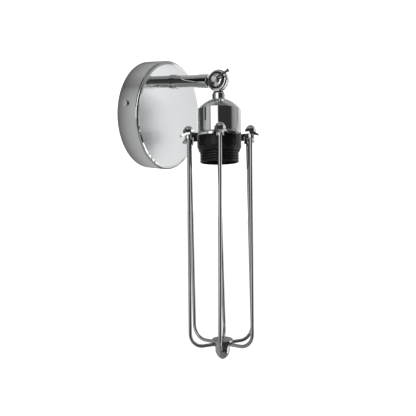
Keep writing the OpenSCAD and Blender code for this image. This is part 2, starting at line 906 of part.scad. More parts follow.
module cap_nut() {
    base_h = cap_nut_h * 0.45;
    flat_r = cap_nut_d / 2 * cos(30);
    rise = cap_nut_h - base_h;
    difference() {
        union() {
            cylinder(h = base_h, r = cap_nut_d / 2, $fn = 6);
            intersection() {
                translate([0, 0, cap_nut_h - flat_r]) sphere(r = flat_r, $fn = 48);
                translate([0, 0, base_h]) cylinder(h = rise + 1, r = flat_r + 1);
            }
            cylinder(h = max(base_h, cap_nut_h - flat_r), r = flat_r, $fn = 48);
        }
        translate([0, 0, -eps]) cylinder(h = cap_nut_h - 1.6, r = rod_hole_r, $fn = 32);
    }
}

module cap_nuts() {
    color(chrome) in_lamp(star_top - seat_gap)
        each_rod() translate([0, -rod_ring_r, 0]) cap_nut();
}

module under_nuts() {
    color(chrome) in_lamp(star_bottom + seat_gap + under_nut_h)
        each_rod()
            translate([0, -rod_ring_r, 0])
                tube(under_nut_h, under_nut_r, rod_hole_r, $fn = 32);
}

// Rod number k: up from its leg through the star plate, leaning to take up the cage's twist
module cage_rod(k) {
    straight = leg_drop - elbow_r - rod_top;
    color(chrome) in_lamp(leg_drop)
    rotate([0, 0, (k - 1) * 360 / rod_count - 90 - cage_twist])
    rotate([-rod_lean, 0, 0]) {
        translate([leg_in, 0, 0])
            rotate([0, 90, 0]) cylinder(h = foot_r - elbow_r - leg_in, r = rod_r, $fn = 32);
        translate([foot_r - elbow_r, 0, elbow_r])
            rotate([90, 0, 0])
                rotate([0, 0, -90])
                    rotate_extrude(angle = 90, $fn = 64)
                        translate([elbow_r, 0]) circle(r = rod_r, $fn = 32);
        translate([foot_r, 0, elbow_r]) cylinder(h = straight, r = rod_r, $fn = 32);
    }
}

// ---- Hub ----------------------------------------------------------------------------------------

module hub_disc() {
    r = hub_disc_d / 2;
    dome = arc_points([r, hub_disc_edge], [0, hub_disc_edge + hub_disc_dome], 0.25, 6);
    color(chrome) in_lamp(hub_disc_top + hub_disc_edge)
    difference() {
        rotate_extrude() polygon(concat([[0, 0], [r, 0]], dome));
        translate([0, 0, -eps]) cylinder(h = hub_disc_edge + 0.4, r = stud_r + screw_gap, $fn = 32);
    }
}

module hub_body() {
    color(chrome) in_lamp(hub_bottom)
    difference() {
        cylinder(h = hub_h, r = hub_d / 2);
        translate([0, 0, -1]) cylinder(h = hub_h + 2, r = stud_r + screw_gap, $fn = 32);
        rotate([0, 0, -cage_twist])
            each_rod()
                translate([0, -leg_in + 0.3, hub_h / 2])
                    rotate([90, 0, 0]) cylinder(h = hub_d, r = rod_hole_r, $fn = 32);
    }
}

module hub_stud() {
    top = hub_disc_top + 0.2;
    bottom = finial_top + 6;
    color(steel) in_lamp(bottom) cylinder(h = bottom - top, r = stud_r, $fn = 32);
}

module finial() {
    r = finial_d / 2;
    tip = arc_points([0, -finial_l], [r, -finial_straight], finial_bulge, 8);
    color(chrome) in_lamp(finial_top)
    difference() {
        rotate_extrude() polygon(concat([[0, 0]], tip, [[r, -0.6], [r - 0.6, 0]]));
        translate([0, 0, -6.4]) cylinder(h = 7, r = stud_r + screw_gap, $fn = 32);
    }
}

// ---- Internal leads -----------------------------------------------------------------------------

// Eases from 0 to 1
function ease(t) = (1 - cos(180 * t)) / 2;

// From the terminal block up behind the plate, round into the arm and on into the fixed disc's race.
// The two leads lie one above the other in the arm. Points are [across, up, out] on the wall.
function arm_lead_path(side) =
    let (bend_r = 9 - side * lead_split)
    let (lead_out = bracket_t + seat_gap + block_h / 2)
    let (low = block_y + block_w / 2 + 2)
    let (high = arm_rise - 9)
    let (turn_out = plate_depth - nipple_in - bend_r)
    let (race_mid = (race_in_r + race_out_r) / 2)
    concat(
        [[side * pole_x, block_y - 1, lead_out]],
        [
            for (i = [0 : 8])
                let (t = i / 8)
                [
                    side * pole_x + (lead_x - side * pole_x) * ease(t),
                    low + (high - low) * t,
                    lead_out + (turn_out - lead_out) * ease(t),
                ]
        ],
        [for (a = [15 : 15 : 90]) [lead_x, high + bend_r * sin(a), turn_out + bend_r * (1 - cos(a))]],
        [
            for (i = [1 : 8])
                [lead_x, high + bend_r, plate_depth + (pivot_reach - race_mid - plate_depth) * i / 8]
        ]
    );

module arm_leads() {
    color(lead_grey) on_wall()
    for (side = [-1, 1]) swept_tube(arm_lead_path(side), lead_r);
}

// From the moving disc's race down the stem, then apart to the holder's two screws
function holder_lead_path(side) =
    let (race_mid = (race_in_r + race_out_r) / 2)
    let (low = ceramic_top - seat_gap - holder_head_h / 2)
    let (end_x = side * (holder_screw_x - holder_head_r - lead_r - lead_gap))
    concat(
        [for (i = [0 : 4]) [-lead_x, side * lead_split, -race_mid - (stem_end - race_mid) * i / 4]],
        [
            for (i = [1 : 6])
                let (t = i / 6)
                [
                    -lead_x + (end_x + lead_x) * ease(t),
                    side * lead_split * (1 - ease(t)),
                    -stem_end - (low - stem_end) * t,
                ]
        ]
    );

module holder_leads() {
    color(lead_grey) in_lamp()
    for (side = [-1, 1]) swept_tube(holder_lead_path(side), lead_r);
}

backplate();
wall_bracket();
side_screws();
earth_screw();
earth_washer();
terminal_block();
terminal_screws();
arm_washer();
arm_locknut();
arm_nipple();
arm_base_collar();
arm_tube();
arm_end_collar();
arm_leads();
knuckle_fixed_half();
knuckle_washer();
clamp_nut();
clamp_screw();
tommy_bar();
knuckle_moving_half();
neck_collar();
holder_cup();
holder_washer();
holder_locknut();
holder_cap();
holder_body();
contact_block();
screw_shell();
centre_contact();
holder_screws();
holder_leads();
shade_ring();
star_plate();
cap_nuts();
under_nuts();
cage_rod(1);  // cage_rod_1
cage_rod(2);  // cage_rod_2
cage_rod(3);  // cage_rod_3
cage_rod(4);  // cage_rod_4
cage_rod(5);  // cage_rod_5
cage_rod(6);  // cage_rod_6
hub_disc();
hub_body();
hub_stud();
finial();
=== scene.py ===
# %% [markdown]
# # A cage wall light
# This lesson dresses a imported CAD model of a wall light: a round chrome backplate, a short stepped arm, a
# clamped knuckle, a cup with a black lampholder and a long cage of six thin rods. Every shape comes from the
# CAD frame, and each node already lies in its place, in metres. So three jobs are left for Blender: the
# finishes, the light and the camera.

# %% Load the frame
import json
import math

import bmesh
import bpy
from mathutils import Matrix, Vector


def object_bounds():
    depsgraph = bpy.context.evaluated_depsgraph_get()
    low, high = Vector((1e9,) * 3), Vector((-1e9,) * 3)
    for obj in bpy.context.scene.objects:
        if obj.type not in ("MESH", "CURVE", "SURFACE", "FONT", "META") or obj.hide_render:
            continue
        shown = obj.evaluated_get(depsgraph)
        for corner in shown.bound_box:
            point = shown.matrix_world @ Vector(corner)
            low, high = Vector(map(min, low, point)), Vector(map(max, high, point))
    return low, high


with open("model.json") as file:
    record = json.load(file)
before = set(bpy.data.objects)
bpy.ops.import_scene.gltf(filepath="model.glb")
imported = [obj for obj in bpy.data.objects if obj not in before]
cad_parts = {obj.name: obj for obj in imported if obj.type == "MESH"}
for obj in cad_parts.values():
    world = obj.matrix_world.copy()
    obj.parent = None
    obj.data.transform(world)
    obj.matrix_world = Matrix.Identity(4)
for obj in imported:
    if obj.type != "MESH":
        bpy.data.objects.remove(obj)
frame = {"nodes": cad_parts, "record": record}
cad_low, cad_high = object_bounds()
nodes = frame["nodes"]
print("CAD box:", [round(v, 4) for v in cad_low], [round(v, 4) for v in cad_high])

# %% [markdown]
# ## The camera
# The camera's place was worked out from the ellipse of the backplate, the rods and the rim of the cup. A
# product picture like this one is taken a little from the left and from below the arm, with the camera
# turned a few degrees, so the plate's edges lean. Yaw, pitch and roll are easier to read than a matrix, so
# the three axes of the camera are built from them.

# %% Where the camera stands
SENSOR_WIDTH = 36.0
FRAME_PIXELS = 416
FOCAL_PIXELS = 451.6
CAMERA_PLACE = Vector((-0.4037, -0.3149, -0.0667))
YAW = math.radians(-60.15)
PITCH = math.radians(-3.25)
ROLL = math.radians(6.04)
print("distance to the wall:", round(-CAMERA_PLACE.y, 3), "m")


# %% Place the camera
def camera_axes(yaw, pitch, roll):
    """The camera's right, up and backward directions."""
    right = Vector((math.cos(yaw), math.sin(yaw), 0))
    forward = Vector((
        -math.sin(yaw) * math.cos(pitch),
        math.cos(yaw) * math.cos(pitch),
        math.sin(pitch),
    ))
    up = right.cross(forward)
    rolled_right = right * math.cos(roll) + up * math.sin(roll)
    rolled_up = up * math.cos(roll) - right * math.sin(roll)
    return rolled_right, rolled_up, -forward


camera_data = bpy.data.cameras.new("camera")
camera_data.sensor_width = SENSOR_WIDTH
camera_data.lens = FOCAL_PIXELS / FRAME_PIXELS * SENSOR_WIDTH
camera = bpy.data.objects.new("camera", camera_data)
bpy.context.scene.collection.objects.link(camera)
axes = camera_axes(YAW, PITCH, ROLL)
camera.matrix_world = Matrix.Translation(CAMERA_PLACE) @ Matrix(axes).transposed().to_4x4()
bpy.context.scene.camera = camera
print("lens:", round(camera_data.lens, 2), "mm")

# %% [markdown]
# ## Shader sums in plain Python
# A node tree is easier to read as a sum. `Value` wraps one output socket, so that `1 - mask` or
# `grain * 0.3` adds the Math node that does it. The reflected forms, such as `__rsub__`, are what Python
# calls when the plain number stands first.

# %% A socket that can be used in sums
class Value:
    """One output socket of a shader, for use in Python expressions."""

    def __init__(self, finish, socket):
        self.finish = finish
        self.socket = socket

    def math(self, operation, first, second=0.0):
        return self.finish.node("ShaderNodeMath", {"operation": operation}, {0: first, 1: second})

    def __add__(self, other):
        return self.math("ADD", self, other)

    def __radd__(self, other):
        return self.math("ADD", other, self)

    def __sub__(self, other):
        return self.math("SUBTRACT", self, other)

    def __rsub__(self, other):
        return self.math("SUBTRACT", other, self)

    def __mul__(self, other):
        return self.math("MULTIPLY", self, other)

    def __rmul__(self, other):
        return self.math("MULTIPLY", other, self)

    def __pow__(self, other):
        return self.math("POWER", self, other)

    def __rpow__(self, other):
        return self.math("POWER", other, self)

    def __gt__(self, limit):
        return self.math("GREATER_THAN", self, limit)


# %% [markdown]
# `NodeMaterial` holds one material. Its `node` method adds any node there is: it sets what the node is
# first, because that can change which sockets the node has, and then fills or links them.

# %% A material and its nodes
class NodeMaterial:
    """A material whose nodes are added one call at a time."""

    def __init__(self, name):
        self.material = bpy.data.materials.new(name)
        self.material.use_nodes = True
        self.tree = self.material.node_tree
        self.shader = self.tree.nodes["Principled BSDF"]

    def node(self, kind, settings=None, sockets=None, output=0):
        made = self.tree.nodes.new(kind)
        for name, value in (settings or {}).items():
            if name == "stops":
                fill_ramp(made.color_ramp, value)
            else:
                setattr(made, name, value)
        self.fill(made, sockets or {})
        return Value(self, made.outputs[output])

    def fill(self, made, sockets):
        for name, value in sockets.items():
            if isinstance(value, Value):
                self.tree.links.new(value.socket, made.inputs[name])
            else:
                made.inputs[name].default_value = value

    def surface(self, **sockets):
        """Fills the sockets of the material's shader; an underscore in a name stands for a space."""
        self.fill(self.shader, {name.replace("_", " "): value for name, value in sockets.items()})


# %% [markdown]
# A few nodes turn up in nearly every finish of this light: noise for what polish and handling leave, a range
# for how strong it is, a mix for its colour and a bump for its relief. `Finish` adds a method for each.

# %% The patterns that a finish is made of
class Finish(NodeMaterial):
    """A material with the patterns of metal, plastic and paint."""

    def place(self):
        """Where a point lies on the object, in metres."""
        return self.node("ShaderNodeTexCoord", output="Object")

    def split(self, vector):
        """The X, Y and Z of a vector."""
        first = self.node("ShaderNodeSeparateXYZ", sockets={"Vector": vector})
        return [Value(self, socket) for socket in first.socket.node.outputs]

    def distance(self, across, along):
        """How far a point is from an axis, from its two offsets."""
        squares = across * across + along * along
        return self.node("ShaderNodeMath", {"operation": "SQRT"}, {0: squares})

    def noise(self, size, detail=3.0, seed=0.0):
        """Soft random patches about `size` metres across, from 0 to 1."""
        return self.node(
            "ShaderNodeTexNoise",
            {"noise_dimensions": "4D"},
            {"Vector": self.place(), "W": seed, "Scale": 1 / size, "Detail": detail},
        )

    def spread(self, value, low, high, low_out=0.0, high_out=1.0):
        """Stretches the part of a value between low and high, and holds it at both ends."""
        return self.node(
            "ShaderNodeMapRange",
            {"clamp": True},
            {"Value": value, "From Min": low, "From Max": high, "To Min": low_out, "To Max": high_out},
        )

    def blend(self, amount, first, second):
        """A colour between two colours."""
        return self.node(
            "ShaderNodeMix",
            {"data_type": "RGBA"},
            {"Factor": amount, 6: first, 7: second},
            output=2,
        )

    def bump(self, height, strength, depth):
        """A Normal for a surface that rises by `height` times `depth` metres."""
        return self.node(
            "ShaderNodeBump",
            sockets={"Strength": strength, "Distance": depth, "Height": height},
        )


# %% [markdown]
# Two small helpers are left. A colour ramp takes its stops one by one, and it starts with two of its own, so
# a function clears and fills it. Most colours of this light are greys, so another function mixes them.

# %% Ramps and greys
def fill_ramp(ramp, stops):
    """Gives a colour ramp these (place, brightness) stops."""
    while len(ramp.elements) > 1:
        ramp.elements.remove(ramp.elements[-1])
    ramp.elements[0].position = stops[0][0]
    for place, brightness in stops[1:]:
        ramp.elements.new(place)
    for element, (place, brightness) in zip(ramp.elements, stops):
        element.position = place
        element.color = (brightness, brightness, brightness, 1)


def grey(brightness, warmth=0.0):
    """A neutral colour, or one a little warmer or cooler."""
    return (brightness * (1 + warmth), brightness, brightness * (1 - warmth), 1)


# %% [markdown]
# ## Chrome plate
# Polished chrome is a mirror with a slightly blue grey of its own. What gives it away as a real thing is
# small: a cloth leaves patches that are a trace duller, dust settles in specks, and the polish leaves faint
# waves. Several chromes of the light share them, so each is a helper.

# %% What the chromes share
PATCH_SIZE = 0.022
SPECK_SIZE = 0.0006
SPECK_SHADE = 0.15
SPECK_DULLNESS = 0.05
TURNED_WAVE = 0.012
TURNED_WAVE_DEPTH = 0.00003


def polish(finish, shade=1.0):
    """Patches that a cloth left duller, from 0 to 1, and the colour of clean chrome with them."""
    patches = finish.spread(finish.noise(PATCH_SIZE, 4.0), 0.38, 0.68)
    bright = grey(0.90 * shade, -0.008)
    duller = grey(0.86 * shade, -0.012)
    return patches, finish.blend(patches, bright, duller)


def dust(finish, size=SPECK_SIZE, seed=7.0):
    """Specks, from 0 to 1."""
    return finish.spread(finish.noise(size, 1.0, seed), 0.74, 0.80)


def waves(finish, size=TURNED_WAVE, depth=TURNED_WAVE_DEPTH):
    """The faint waves that polishing leaves, as a Normal."""
    return finish.bump(finish.noise(size, 2.0, seed=11.0), 0.2, depth)


# %% [markdown]
# Three chromes differ in their waves. A turned piece has short ones, a sheet pressed over a former has
# longer ones, and drawn wire has hardly any. The wire and the small hub are given a darker colour as well,
# as painted shade for the dark that these small pieces mirror. The roughness moves by less than a tenth:
# anything stronger turns the mirror to foil.

# %% Turned, pressed and drawn chrome
def chrome(name, wave_size, wave_depth, dull=0.03, shade=1.0):
    finish = Finish(name)
    patches, clean = polish(finish, shade)
    wipes = finish.spread(finish.noise(0.004, 2.0, seed=3.0), 0.45, 0.75)
    specks = dust(finish)
    finish.surface(
        Metallic=1.0,
        Base_Color=finish.blend(specks * SPECK_SHADE, clean, grey(0.60 * shade, 0.01)),
        Roughness=0.02 + patches * dull + wipes * 0.012 + specks * SPECK_DULLNESS,
        Normal=waves(finish, wave_size, wave_depth),
    )
    print("finish:", name)
    return finish.material


finishes = {
    "chrome": chrome("chrome_turned", TURNED_WAVE, TURNED_WAVE_DEPTH),
    "chrome_sheet": chrome("chrome_pressed_sheet", wave_size=0.03, wave_depth=0.00008),
    # Painted shade: shade=0.62 darkens the colour of the wire and hub chrome
    "chrome_wire_painted_darker": chrome("chrome_wire_painted_darker", wave_size=0.02, wave_depth=0.00001, dull=0.01, shade=0.62),
}

# %% [markdown]
# ## The backplate's chrome
# The backplate is one spun dish, but its surfaces differ. The lower half of the face shows no sharp mirror
# image of the lamp, only an even sheen, so there the polish is hazy, and around the arm it is clear. The rim
# is painted darker towards the wall, as painted shade where the wall would shade it, and the inside, which
# nobody polishes, stays dull.
# A bevel runs round the edge of the face. It is so shallow that a bump is enough: the height falls with the
# distance from the middle.

# %% Sizes on the backplate
PLATE_RADIUS = 0.0575
PLATE_DEPTH = 0.025
SHEET = 0.0013
# The haze starts at the first height and is full at the second
HAZE_TOP = 0.030
HAZE_BOTTOM = 0.006
HAZE_SHIFT = 0.012
PLATE_POLISH = 0.04
PLATE_HAZE = 0.33
# Where the bevel starts, how soft that edge is, and how far the bevel falls
BEVEL_START = 0.0538
BEVEL_EDGE = 0.0003
BEVEL_FALL = 0.0011
# Painted shade on the rim starts at this part of the depth, from the wall, and grows by this power
WALL_SHADE_START = 0.9
WALL_SHADE_POWER = 1.7
WALL_SHADE_STRENGTH = 0.78
INSIDE_DULLNESS = 0.4
print("bevel:", round((PLATE_RADIUS - BEVEL_START) * 1000, 1), "mm wide")


# %% The haze and the painted shade by the wall
def plate_haze(finish, height, clouds):
    """0 where the face is clear and 1 where it is hazy; the clouds make the line between uneven."""
    return finish.node(
        "ShaderNodeMapRange",
        {"interpolation_type": "SMOOTHERSTEP"},
        {"Value": height + (clouds - 0.5) * HAZE_SHIFT, "From Min": HAZE_TOP, "From Max": HAZE_BOTTOM},
    )


def painted_wall_shade(finish, out):
    """Painted shade on the rim: grows from 0 near the face to 1 at the wall, slowly at first."""
    return finish.spread(out, -WALL_SHADE_START * PLATE_DEPTH, 0.0) ** WALL_SHADE_POWER


# %% Chrome for the backplate
def plate_chrome(name):
    finish = Finish(name)
    side, out, height = finish.split(finish.place())
    from_middle = finish.distance(side, height)
    clouds = finish.noise(0.03, 3.0)
    bevel = finish.spread(from_middle, BEVEL_START, PLATE_RADIUS)
    on_bevel = finish.spread(from_middle, BEVEL_START - BEVEL_EDGE, BEVEL_START + BEVEL_EDGE)
    haze = (1 - on_bevel) * plate_haze(finish, height, clouds)
    on_rim = from_middle > PLATE_RADIUS - SHEET / 2
    inside = (out > SHEET - PLATE_DEPTH) * (1 - on_rim)
    specks = dust(finish)
    clean = finish.blend(clouds, grey(0.90, -0.008), grey(0.87, -0.012))
    # Painted shade: the rim's colour is darkened towards the wall
    wall_shade = painted_wall_shade(finish, out) * on_rim
    with_wall_shade = finish.blend(wall_shade * WALL_SHADE_STRENGTH, clean, grey(0.10))
    dusty = finish.blend(specks * SPECK_SHADE, with_wall_shade, grey(0.60))
    raw = finish.blend(clouds, grey(0.62, 0.01), grey(0.50, 0.02))
    polished = PLATE_POLISH + haze * (PLATE_HAZE - PLATE_POLISH)
    ripple = finish.noise(0.04, 2.0, seed=11.0) * 0.015
    finish.surface(
        Metallic=1.0,
        Base_Color=finish.blend(inside, dusty, raw),
        Roughness=polished + specks * SPECK_DULLNESS + inside * INSIDE_DULLNESS,
        Normal=finish.bump(ripple - bevel, 1.0, BEVEL_FALL),
    )
    print("finish:", name)
    return finish.material


finishes["chrome_plate"] = plate_chrome("chrome_hazy_plate")

# %% [markdown]
# ## The knuckle's painted groove shade
# Each disc of the knuckle has a round groove between its rim and its boss. Its colour is made nearly
# black there, as painted shade for the dark that a deep groove holds. The ring follows the distance from
# the pivot's axis, which runs along X, and a little noise keeps its edges from being drawn with a compass.

# %% Chrome with painted shade in its groove
PIVOT_OUT = -0.0795
PIVOT_HEIGHT = 0.037
GROOVE_IN = 0.0067
GROOVE_OUT = 0.0088
GROOVE_EDGE = 0.0003
GROOVE_WOBBLE = 0.0003


def chrome_with_painted_groove_shade(name):
    finish = Finish(name)
    out, height = finish.split(finish.place())[1:]
    from_axis = finish.distance(out - PIVOT_OUT, height - PIVOT_HEIGHT)
    near = from_axis + (finish.noise(0.003, 3.0) - 0.5) * GROOVE_WOBBLE
    past_boss = finish.spread(near, GROOVE_IN - GROOVE_EDGE, GROOVE_IN + GROOVE_EDGE)
    within_rim = finish.spread(near, GROOVE_OUT - GROOVE_EDGE, GROOVE_OUT + GROOVE_EDGE, 1.0, 0.0)
    # Painted shade: the groove between boss and rim is darkened nearly to black
    groove_shade = past_boss * within_rim
    patches, clean = polish(finish)
    finish.surface(
        Metallic=1.0,
        Base_Color=finish.blend(groove_shade * 0.96, clean, grey(0.03)),
        Roughness=0.03 + patches * 0.03 + groove_shade * 0.2,
        Normal=waves(finish),
    )
    print("finish:", name)
    return finish.material


finishes["chrome_painted_groove_shade"] = chrome_with_painted_groove_shade("chrome_groove_painted_shade")

# %% [markdown]
# ## The slit above the neck
# The neck collar is undercut at its top, and the photograph shows the cut as a black slit. Here the cut is
# painted black, as painted shade inside the undercut. The depth along the lamp's axis, counted from the
# pivot, says where the cut is. A dot product gives that depth, because it measures how far one arrow
# reaches along another.

# %% Chrome with painted shade in the undercut
LAMP_AXIS = (0.0, -0.139173, -0.990268)
UNDERCUT_END = 0.0135
UNDERCUT_EDGE = 0.0002
UNDERCUT_WOBBLE = 0.0002


def chrome_with_painted_undercut_shade(name):
    finish = Finish(name)
    from_pivot = finish.node(
        "ShaderNodeVectorMath",
        {"operation": "SUBTRACT"},
        {0: finish.place(), 1: (0.0, PIVOT_OUT, PIVOT_HEIGHT)},
    )
    drop = finish.node(
        "ShaderNodeVectorMath", {"operation": "DOT_PRODUCT"}, {0: from_pivot, 1: LAMP_AXIS}, output=1
    )
    wobble = (finish.noise(0.004, 3.0) - 0.5) * UNDERCUT_WOBBLE
    # Painted shade: the undercut is made a black, dull non-metal
    undercut_shade = finish.spread(drop + wobble, UNDERCUT_END, UNDERCUT_END - UNDERCUT_EDGE)
    patches, clean = polish(finish)
    finish.surface(
        Metallic=1.0 - undercut_shade,
        Base_Color=finish.blend(undercut_shade, clean, grey(0.006)),
        Roughness=0.03 + patches * 0.03 + undercut_shade * 0.5,
        Normal=waves(finish),
    )
    print("finish:", name)
    return finish.material


finishes["chrome_painted_undercut_shade"] = chrome_with_painted_undercut_shade("chrome_undercut_painted_shade")

# %% [markdown]
# ## Plain metals
# Hidden parts are plainer. The bracket and the locknuts have zinc plate, a satin grey with a fine frosted
# grain. The knuckle's washer and the hub's stud are turned steel, and what carries current is brass that has
# begun to tarnish. The loose bar through the clamp screw is blackened steel. One function makes all four,
# because they differ only in colour, grain and shine.

# %% Zinc, steel and brass
def plain_metal(name, bright, tarnished, grain_size, shine, dull):
    finish = Finish(name)
    clouds = finish.spread(finish.noise(0.006, 4.0), 0.35, 0.7)
    grain = finish.noise(grain_size, 2.0, seed=5.0)
    finish.surface(
        Metallic=1.0,
        Base_Color=finish.blend(clouds * 0.7 + grain * 0.25, bright, tarnished),
        Roughness=shine + clouds * (dull - shine) + grain * 0.06,
        Normal=finish.bump(grain, 0.35, 0.00004),
    )
    print("finish:", name)
    return finish.material


finishes["zinc"] = plain_metal(
    "zinc_plate", grey(0.66), grey(0.50, 0.03), grain_size=0.0006, shine=0.28, dull=0.42
)
finishes["dark_steel"] = plain_metal(
    "blackened_steel", grey(0.20), grey(0.12, 0.03), grain_size=0.0005, shine=0.16, dull=0.3
)
finishes["steel"] = plain_metal(
    "turned_steel", grey(0.60), grey(0.42, 0.02), grain_size=0.0004, shine=0.24, dull=0.38
)
finishes["brass"] = plain_metal(
    "brass",
    (0.80, 0.58, 0.24, 1),
    (0.52, 0.35, 0.14, 1),
    grain_size=0.0005,
    shine=0.16,
    dull=0.34,
)

# %% [markdown]
# ## Moulded and fired materials
# The holder is black phenolic: half gloss, with flow clouds in the shine, the finest grain, and small pale
# scuffs. It is so nearly black that a very dark colour isn't enough: the specular level is low as well.

# %% Black phenolic
def phenolic(name):
    finish = Finish(name)
    flow = finish.spread(finish.noise(0.014, 5.0), 0.35, 0.7)
    grain = finish.noise(0.0005, 3.0, seed=4.0)
    scuffs = finish.spread(finish.noise(0.0016, 4.0, seed=9.0), 0.66, 0.76)
    black = finish.blend(flow, grey(0.003), grey(0.006, 0.02))
    finish.surface(
        Specular_IOR_Level=0.3,
        Base_Color=finish.blend(scuffs * 0.3, black, grey(0.03)),
        Roughness=0.24 + flow * 0.1 + scuffs * 0.2,
        Normal=finish.bump(grain, 0.25, 0.00004),
    )
    print("finish:", name)
    return finish.material


finishes["black_plastic"] = phenolic("black_phenolic")

# %% [markdown]
# The contact block is porcelain with a clear glaze, the terminal block is milky nylon, and the leads have
# soft grey insulation. All three are a pale or grey body with clouds, grain and specks, so one function
# makes them. Only the porcelain has a coat, and only the nylon lets light in below its surface.

# %% Porcelain, nylon and insulation
def pale_body(name, colour, shade, grain_size, rough, glaze=0.0, soft=0.0):
    finish = Finish(name)
    clouds = finish.spread(finish.noise(0.008, 4.0), 0.3, 0.75)
    grain = finish.noise(grain_size, 3.0, seed=2.0)
    specks = dust(finish, 0.0007, seed=6.0)
    finish.surface(
        Base_Color=finish.blend(clouds * 0.8 + specks * 0.3, colour, shade),
        Roughness=rough + clouds * 0.08 + specks * 0.1,
        Normal=finish.bump(grain, 0.3, 0.00005),
        Coat_Weight=glaze,
        Subsurface_Weight=soft,
        Subsurface_Scale=0.001,
    )
    print("finish:", name)
    return finish.material


finishes["porcelain"] = pale_body(
    "glazed_porcelain", (0.86, 0.84, 0.78, 1), (0.74, 0.71, 0.64, 1), 0.0009, 0.14, glaze=0.8
)
finishes["nylon"] = pale_body(
    "milky_nylon", (0.78, 0.78, 0.74, 1), (0.68, 0.67, 0.62, 1), 0.0005, 0.38, soft=0.2
)
finishes["insulation"] = pale_body(
    "lead_insulation", (0.24, 0.25, 0.27, 1), (0.17, 0.18, 0.20, 1), 0.0006, 0.42
)

# %% [markdown]
# ## Dressing the CAD nodes
# The record already says which finish every node takes, so the dressing is one loop. A short list holds the
# nodes that need a closer look than their slot gives: the plate, the pressed sheet, the knuckle, the neck
# collar, the bar, and the wire cage with its hub.

# %% Give each node its finish
OWN_LOOKS = {
    "backplate": "chrome_plate",
    "holder_cup": "chrome_sheet",
    "star_plate": "chrome_sheet",
    "knuckle_fixed_half": "chrome_painted_groove_shade",
    "knuckle_moving_half": "chrome_painted_groove_shade",
    "neck_collar": "chrome_painted_undercut_shade",
    "tommy_bar": "dark_steel",
    "hub_disc": "chrome_wire_painted_darker",
    "hub_body": "chrome_wire_painted_darker",
    "finial": "chrome_wire_painted_darker",
}
OWN_LOOKS.update({name: "chrome_wire_painted_darker" for name in nodes if name.startswith("cage_rod")})
for part in frame["record"]["subparts"]:
    look = OWN_LOOKS.get(part["node"], part["material_slot"])
    for slot in nodes[part["node"]].material_slots:
        slot.material = finishes[look]

# %% [markdown]
# ## The studio
# Chrome has no picture of its own: it shows the room. A chrome lamp that is photographed in a plain white
# room looks like fog, so a photographer stands it in a tent with a few dark and bright cards. Here the tent
# is a large ball that only mirror reflections can see. Its cards are given by the compass direction they
# stand in. The camera sees the white room instead.

# %% The cards around the tent
# Direction in degrees, counted from +X towards +Y, and brightness
CARDS = [
    (0, 0.80),
    (20, 0.30),
    (100, 0.17),
    (120, 0.18),
    (134, 0.36),
    (141, 0.44),
    (153, 0.52),
    (160, 0.36),
    (165, 0.28),
    (167, 1.25),
    (200, 1.25),
    (204, 0.03),
    (272, 0.03),
    (277, 0.10),
    (284, 0.24),
    (307, 0.36),
    (331, 0.28),
    (336, 0.90),
]
# The cards stand between these heights, as the sine of the angle above the horizon
CARD_BOTTOM = math.sin(math.radians(-14))
CARD_TOP = math.sin(math.radians(38))
CARD_EDGE = 0.05
print("tent cards:", len(CARDS))

# %% [markdown]
# Above the cards is a grey ceiling, lighter over the wall and darker straight overhead. Below them is a
# floor that grows brighter towards the horizon. The domed cup mirrors the ceiling, and the undersides mirror
# the floor.

# %% The ceiling and the floor in the tent
# Brightness of the ceiling by direction in degrees
CEILING = [(5, 0.36), (95, 0.36), (125, 0.24), (330, 0.24)]
# The darker part overhead starts here, as the sine of the angle
OVERHEAD = 0.92
OVERHEAD_LIGHT = 0.15
# Brightness of the floor by how steeply it is seen, as the sine of the angle
FLOOR_LOOKS = [(-1.0, 0.26), (-0.9, 0.24), (-0.7, 0.25), (-0.5, 0.28), (-0.3, 0.38)]
print("floor steps:", len(FLOOR_LOOKS))

# %% [markdown]
# Four more cards stand low, in front of that. Each is there for one surface: a light board on the floor for
# the backplate's rim, a black card for the underside of the star, a wider one for the lower rods, and a
# white one for the backplate's face. Each is given by its directions and by how far it reaches down and up.

# %% The low cards
# A light board on the floor to the left, which the backplate's rim mirrors
FLOOR_BOARD = [(37, 0.0), (41, 1.0), (150, 1.0), (165, 0.0)]
FLOOR_BOARD_RISE = (-66, -12)
FLOOR_BOARD_LIGHT = 0.42
# A wide, nearly black card beside the camera, low down, which the lower rods mirror
LOW_BLACK = [(190, 0.0), (195, 1.0), (283, 1.0), (286, 0.0)]
LOW_BLACK_RISE = (-30, 9)
LOW_BLACK_LIGHT = 0.05
# A black card behind the lamp and below it, which the underside of the star mirrors
BLACK_CARD = [(12, 0.0), (17, 1.0), (33, 1.0), (38, 0.0)]
BLACK_CARD_RISE = (-42, -2)
BLACK_CARD_LIGHT = 0.01
# A white card in front of the backplate, to the camera's right; its stops are its brightness too
WHITE_CARD = [(286, 0.0), (290, 1.5), (310, 1.4), (320, 0.92), (330, 0.68), (344, 0.65), (350, 0.0)]
WHITE_CARD_RISE = (-34, 15)
print("white card:", WHITE_CARD[-1][0] - WHITE_CARD[0][0], "degrees wide")

# %% [markdown]
# A radial gradient turns a direction into one number that goes from 0 to 1 in a full turn, and a colour ramp
# turns that number into a brightness. The gradient starts and ends at 180 degrees, so both ends of the ramp
# need the brightness that the cards have there.

# %% From a direction to a brightness
def turn_stops(cards):
    """Ramp stops for cards given by direction; the ramp starts and ends at 180 degrees."""
    stops = sorted(((degrees / 360 + 0.5) % 1, bright) for degrees, bright in cards)
    first, last = stops[0], stops[-1]
    seam = (first[1] * (1 - last[0]) + last[1] * first[0]) / (1 - last[0] + first[0])
    return [(0.0, seam)] + stops + [(1.0, seam)]


def around(finish, turn, cards):
    """The brightness of the cards in every direction."""
    return finish.node("ShaderNodeValToRGB", {"stops": turn_stops(cards)}, {"Fac": turn})


